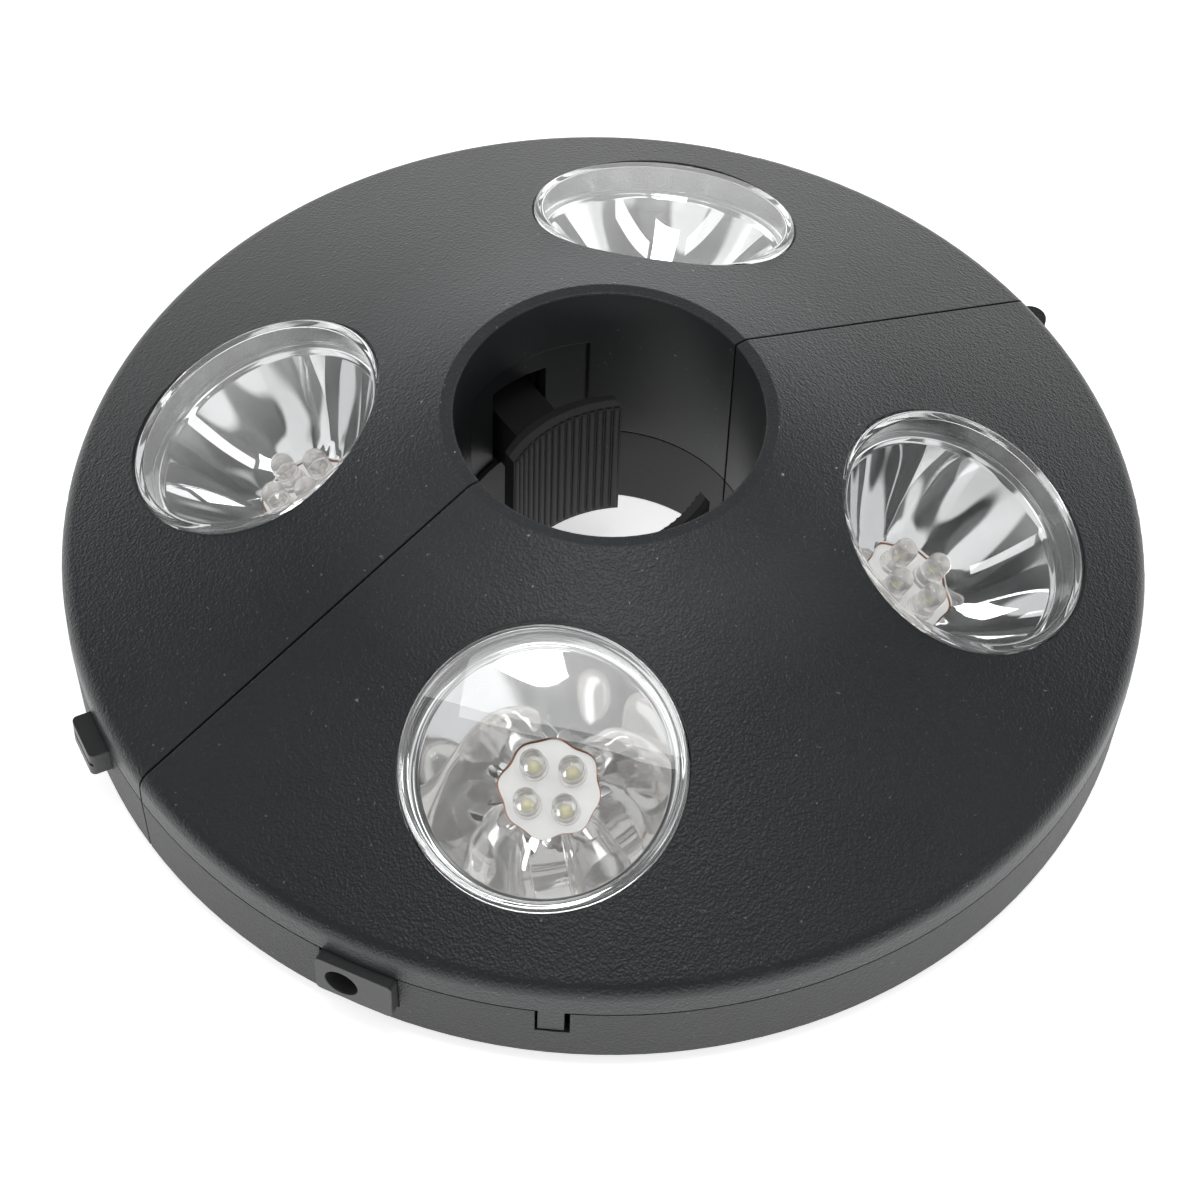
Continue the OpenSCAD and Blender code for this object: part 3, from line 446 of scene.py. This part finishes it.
# The battery side: a plain moulded door over each bay, two cells in a shrunk
# plastic sleeve behind it, and the green lacquered board that charges them.
for half in halves:
    dress(half + "_battery_door", base_plastic)
    sleeve = grained_plastic(half + "_sleeve", (0.03, 0.1, 0.28), roughness=0.25,
                             grain_mm=4.0, depth_mm=0.05, edge_mm=0.3)
    dress(half + "_cells", sleeve)
board_lacquer = grained_plastic("board_lacquer", (0.015, 0.14, 0.06), roughness=0.3,
                                grain_mm=0.8, depth_mm=0.03, edge_mm=0.1)
dress("control_board", board_lacquer)


# The lamp bowls: thin moulded plastic with a vacuum-deposited mirror finish.
# A flat flange sits on the seat's ledge, and a short scalloped neck at the
# bottom stands on the lamp's board. Every lamp leans out by the same angle.
lamp_turns = {"back_right": 45.0, "back_left": 135.0, "front_left": -135.0, "front_right": -45.0}
lamp_reach = 71.72 * mm
lamp_height = 45.0 * mm
lamp_lean = math.radians(24.0)
cap_depth = 7.0 * mm
bowl_rim = 24.7 * mm
bowl_neck = 10.0 * mm
bowl_depth = 24.0 * mm
bowl_steps = 40
neck_wall = 1.2 * mm
neck_end = 25.0 * mm
rim_round = 0.45 * mm
cap_gap = 0.05 * mm
flange_edge = 27.4 * mm
flange_inner = 25.4 * mm
flange_thick = 1.1 * mm
skin_out, skin_down = 1.0 * mm, 0.5 * mm
eight_lobes, five_lobes, five_lobes_turn = 0.32, 0.22, 1.0
lobes_fade = 4.0 * mm
fine_steps = 192
same_point = 1e-7
no_edge = 1e-8


def lamp_place(lamp):
    """Where a lamp's pieces stand: z is the lamp's own axis, zero the cap's face."""
    around = Matrix.Rotation(math.radians(lamp_turns[lamp]), 4, "Z")
    out = Matrix.Translation((lamp_reach, 0, lamp_height))
    return around @ out @ Matrix.Rotation(lamp_lean, 4, "Y")


def half_of(lamp):
    return lamp.split("_")[0] + "_half"


def arc(centre_r, centre_z, radius, start, end, steps):
    """Points of an arc in an outline, from one angle to another in degrees."""
    angles = [math.radians(start + (end - start) * i / steps) for i in range(steps + 1)]
    return [(centre_r + radius * math.cos(a), centre_z + radius * math.sin(a)) for a in angles]


def finish_mesh(name, mesh, smooth_angle=38.0):
    """Makes an object of a bmesh, smooth but for its sharp edges."""
    bmesh.ops.recalc_face_normals(mesh, faces=mesh.faces)
    data = bpy.data.meshes.new(name)
    mesh.to_mesh(data)
    mesh.free()
    data.shade_smooth()
    data.set_sharp_from_angle(angle=math.radians(smooth_angle))
    piece = bpy.data.objects.new(name, data)
    scene.collection.objects.link(piece)
    return piece


def revolve(name, outline, steps, closed=True, shape=None):
    """Turns an outline of (radius, height) points about Z. shape may move each point."""
    mesh = bmesh.new()
    count = len(outline)
    rings = []
    for i in range(steps):
        angle = 2 * math.pi * i / steps
        ring = []
        for r, z in outline:
            if shape:
                r, z = shape(r, z, angle)
            ring.append(mesh.verts.new((r * math.cos(angle), r * math.sin(angle), z)))
        rings.append(ring)
    for i, ring in enumerate(rings):
        following = rings[(i + 1) % steps]
        for j in range(count if closed else count - 1):
            n = (j + 1) % count
            mesh.faces.new((ring[j], following[j], following[n], ring[n]))
    bmesh.ops.remove_doubles(mesh, verts=mesh.verts, dist=same_point)
    bmesh.ops.dissolve_degenerate(mesh, edges=mesh.edges, dist=no_edge)
    return finish_mesh(name, mesh)


def scallop(r, z, angle):
    """Uneven shallow lobes round the neck, gone a few millimetres further up."""
    share = max(0.0, 1.0 - (r - bowl_neck) / lobes_fade)
    lobes = eight_lobes * math.cos(8 * angle) + five_lobes * math.cos(5 * angle + five_lobes_turn)
    return r + lobes * mm * share ** 2, z


def chromed():
    """A mirror finish: streaks near the neck, soft waves, fine scratches, a thin haze."""
    material = new_material("chrome")
    tree = material.node_tree
    where = add_node(tree, "ShaderNodeTexCoord")
    plan = plan_of(tree, where)
    spoke = add_node(tree, "ShaderNodeVectorMath", operation="NORMALIZE", in_0=plan)
    wave = noise(tree, where, scale=55.0, detail=0.0)
    waved = add_node(tree, "ShaderNodeBump", in_Strength=1.0, in_Distance=0.3 * mm,
                     in_Height=(wave, "Fac"))
    streak = add_node(tree, "ShaderNodeTexNoise", in_Vector=spoke, in_Scale=4.0, in_Detail=1.0)
    near_neck = map_range(tree, reach_of(tree, plan), low=11.0 * mm, high=18.0 * mm,
                          start=1.0, end=0.0)
    streaked = add_node(tree, "ShaderNodeBump", in_Strength=near_neck, in_Distance=0.15 * mm,
                        in_Height=(streak, "Fac"), in_Normal=waved)
    scratch = noise(tree, where, scale=900.0, detail=4.0)
    worn = map_range(tree, (scratch, "Fac"), low=0.35, high=0.75, start=0.01, end=0.045)
    mirror = add_node(tree, "ShaderNodeBsdfPrincipled", in_Metallic=1.0, in_Roughness=worn,
                      in_Base_Color=(0.88, 0.885, 0.89, 1.0), in_Normal=streaked)
    haze = add_node(tree, "ShaderNodeBsdfPrincipled", in_Metallic=1.0, in_Roughness=0.3,
                    in_Base_Color=(0.9, 0.9, 0.9, 1.0))
    smudge = noise(tree, where, scale=110.0, detail=5.0)
    smudged = map_range(tree, (smudge, "Fac"), low=0.35, high=0.75, start=0.02, end=0.1)
    add_node(tree, "ShaderNodeOutputMaterial", in_0=mix_shaders(tree, smudged, mirror, haze))
    return material


bowl_rise = (bowl_depth - cap_depth) / (bowl_rim ** 2 - bowl_neck ** 2)
bowl_radii = [bowl_neck + (bowl_rim - bowl_neck) * i / bowl_steps for i in range(bowl_steps + 1)]
bowl_inside = [(r, -bowl_depth + bowl_rise * (r * r - bowl_neck ** 2)) for r in bowl_radii]
bowl_outside = [(r + skin_out, z - skin_down) for r, z in reversed(bowl_inside[:-3:2])]
flange_top = -cap_depth - cap_gap
flange_under = flange_top - flange_thick
bowl_outline = (
    bowl_inside[:-1]
    + arc(bowl_rim + rim_round, flange_top - rim_round, rim_round, start=160, end=90, steps=5)
    + [(flange_edge, flange_top), (flange_edge, flange_under), (flange_inner, flange_under)]
    + bowl_outside
    + [(bowl_neck + neck_wall, -neck_end), (bowl_neck, -neck_end)])
chrome = chromed()
for lamp in lamp_turns:
    bowl = revolve(lamp + "_bowl", bowl_outline, fine_steps, shape=scallop)
    bowl.data.materials.append(chrome)
    bowl.matrix_world = lamp_place(lamp)
    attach(bowl, half_of(lamp))
    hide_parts(lamp + "_reflector")


# The lamp boards: a white lacquered disc under each bowl, with the copper of
# its ground ring showing as a thin edge inside the neck.
board_radius = 12.5 * mm
board_thick = 1.6 * mm
board_bevel = 0.2 * mm
board_steps = 96
ring_in, ring_out = 9.75 * mm, 10.9 * mm
ring_thick = 0.04 * mm


def stained_copper():
    material = new_material("copper_edge")
    tree = material.node_tree
    where = add_node(tree, "ShaderNodeTexCoord")
    stain = noise(tree, where, scale=600.0, detail=3.0)
    tint = two_tones(tree, stain, dark=(0.2, 0.075, 0.04), light=(0.42, 0.2, 0.12))
    shader = add_node(tree, "ShaderNodeBsdfPrincipled", in_Base_Color=tint,
                      in_Roughness=0.35, in_Metallic=0.6)
    add_node(tree, "ShaderNodeOutputMaterial", in_0=shader)
    return material


white_mask = grained_plastic("white_mask", (0.92, 0.92, 0.9), roughness=0.35,
                             grain_mm=1.0, depth_mm=0.01)
copper = stained_copper()
board_outline = [
    (0, -neck_end), (board_radius - board_bevel, -neck_end),
    (board_radius, -neck_end - board_bevel), (board_radius, -neck_end - board_thick),
    (0, -neck_end - board_thick)]
ring_top = -neck_end + ring_thick
ring_outline = [(ring_in, -neck_end), (ring_in, ring_top), (ring_out, ring_top),
                (ring_out, -neck_end)]
for lamp in lamp_turns:
    board = revolve(lamp + "_board", board_outline, board_steps, closed=False)
    board.data.materials.append(white_mask)
    edge = revolve(lamp + "_board_edge", ring_outline, fine_steps, shape=scallop)
    edge.data.materials.append(copper)
    for piece in (board, edge):
        piece.matrix_world = lamp_place(lamp)
        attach(piece, half_of(lamp))
    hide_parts(lamp + "_led_board")


# The LEDs: four 5 mm ones in each lamp, clear resin over a steel cup that
# holds a dot of yellow phosphor, soldered through the board.
led_radius = 2.5 * mm
led_flange = 2.9 * mm
led_height = 8.7 * mm
led_spacing = 7.7 * mm
led_foot, flange_high, dome_low = 0.1 * mm, 1.0 * mm, 1.2 * mm
cup_floor, cup_lip, cup_under = 4.2 * mm, 5.0 * mm, 3.6 * mm
cup_well, cup_mouth, cup_out = 0.75 * mm, 1.05 * mm, 1.2 * mm
post_top, post_foot = 3.0 * mm, 0.2 * mm
post_wide, post_narrow = 0.4 * mm, 0.3 * mm
dot_radius, dot_low, dot_high = 0.5 * mm, 4.15 * mm, 4.25 * mm
led_corners = ((-1, -1), (1, -1), (1, 1), (-1, 1))
led_steps, cup_steps = 40, 24


def end_clear(tree, shader):
    """Ends a clear material, which lets light pass straight on to what is behind it."""
    rays = add_node(tree, "ShaderNodeLightPath")
    passed = add_node(tree, "ShaderNodeBsdfTransparent")
    shown = mix_shaders(tree, (rays, "Is Shadow Ray"), shader, passed)
    add_node(tree, "ShaderNodeOutputMaterial", in_0=shown)


def clear_resin():
    material = new_material("led_resin")
    tree = material.node_tree
    where = add_node(tree, "ShaderNodeTexCoord")
    haze = noise(tree, where, scale=900.0, detail=3.0)
    clouded = map_range(tree, (haze, "Fac"), start=0.02, end=0.12)
    shader = add_node(tree, "ShaderNodeBsdfPrincipled", in_Base_Color=(0.97, 0.95, 0.93, 1.0),
                      in_IOR=1.5, in_Transmission_Weight=0.82, in_Roughness=clouded)
    end_clear(tree, shader)
    return material


resin = clear_resin()
phosphor = grained_plastic("phosphor", (0.8, 0.76, 0.45), roughness=0.6,
                           grain_mm=0.3, depth_mm=0.02)
lead_steel = metal("lead_steel", (0.8, 0.8, 0.8), roughness=0.25, grain_mm=0.4,
                   depth_mm=0.005, edge_mm=0.0)
led_outline = (
    arc(0, led_height - led_radius, led_radius, start=90, end=0, steps=14)
    + [(led_radius, dome_low), (led_flange, flange_high), (led_flange, led_foot), (0, led_foot)])
cup_outline = [
    (0, cup_floor), (cup_well, cup_floor), (cup_mouth, cup_lip), (cup_out, cup_lip),
    (cup_out, cup_under), (post_wide, post_top), (post_narrow, post_foot), (0, post_foot)]
dot_outline = arc(0, dot_low, dot_radius, start=90, end=10, steps=8) + [(0, dot_high)]
for lamp in lamp_turns:
    for number, (x, y) in enumerate(led_corners, start=1):
        spot = Matrix.Translation((x * led_spacing / 2, y * led_spacing / 2, -neck_end))
        for suffix, outline, steps, finish in (("led", led_outline, led_steps, resin),
                                               ("cup", cup_outline, cup_steps, lead_steel),
                                               ("dot", dot_outline, cup_steps, phosphor)):
            piece = revolve("%s_%s_%d" % (lamp, suffix, number), outline, steps, closed=False)
            piece.data.materials.append(finish)
            piece.matrix_world = lamp_place(lamp) @ spot
            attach(piece, half_of(lamp))
            if suffix == "led":
                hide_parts(lamp + "_leds")


# The clear caps: injection-moulded clear plastic, a flat face with a rounded
# edge over a short skirt that clips into the seat and holds the bowl down.
cap_radius = 27.6 * mm
cap_face = 1.6 * mm
cap_wall = 1.5 * mm
cap_round = 1.0 * mm
cap_bevel = 0.2 * mm
cap_corner = 0.6 * mm
skirt_from, skirt_to = 25.6 * mm, 26.1 * mm
# Painted reflection: the skirt is made less clear so that it shows lighter, in place of the light
# room mirrored in it.
skirt_clearness_painted_reflection = 0.96


def clear_cap_plastic():
    """Clear plastic with a faint wave and scuffs. The skirt is made a little less clear, which
    paints a reflection there.
    """
    material = new_material("clear_plastic")
    tree = material.node_tree
    where = add_node(tree, "ShaderNodeTexCoord")
    wave = noise(tree, where, scale=45.0, detail=1.0)
    waved = add_node(tree, "ShaderNodeBump", in_Strength=0.5, in_Distance=0.06 * mm,
                     in_Height=(wave, "Fac"))
    scuff = noise(tree, where, scale=300.0, detail=5.0)
    scuffed = map_range(tree, (scuff, "Fac"), low=0.5, high=0.8, end=0.015)
    clearness = map_range(tree, reach_of(tree, plan_of(tree, where)), low=skirt_from,
                          high=skirt_to, start=1.0, end=skirt_clearness_painted_reflection)
    shader = add_node(tree, "ShaderNodeBsdfPrincipled", in_Base_Color=(0.975, 0.98, 0.98, 1.0),
                      in_IOR=1.49, in_Transmission_Weight=clearness, in_Roughness=scuffed,
                      in_Normal=waved)
    end_clear(tree, shader)
    return material


clear_plastic = clear_cap_plastic()
cap_inner = cap_radius - cap_wall
cap_outline = (
    [(0, 0)]
    + arc(cap_radius - cap_round, -cap_round, cap_round, start=90, end=0, steps=8)
    + [(cap_radius, -cap_depth + cap_bevel), (cap_radius - cap_bevel, -cap_depth),
       (cap_inner, -cap_depth)]
    + arc(cap_inner - cap_corner, -cap_face - cap_corner, cap_corner, start=0, end=90, steps=6)
    + [(0, -cap_face)])
for lamp in lamp_turns:
    cap = revolve(lamp + "_cap", cap_outline, fine_steps, closed=False)
    cap.data.materials.append(clear_plastic)
    cap.matrix_world = lamp_place(lamp)
    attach(cap, half_of(lamp))
    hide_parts(lamp + "_lens")
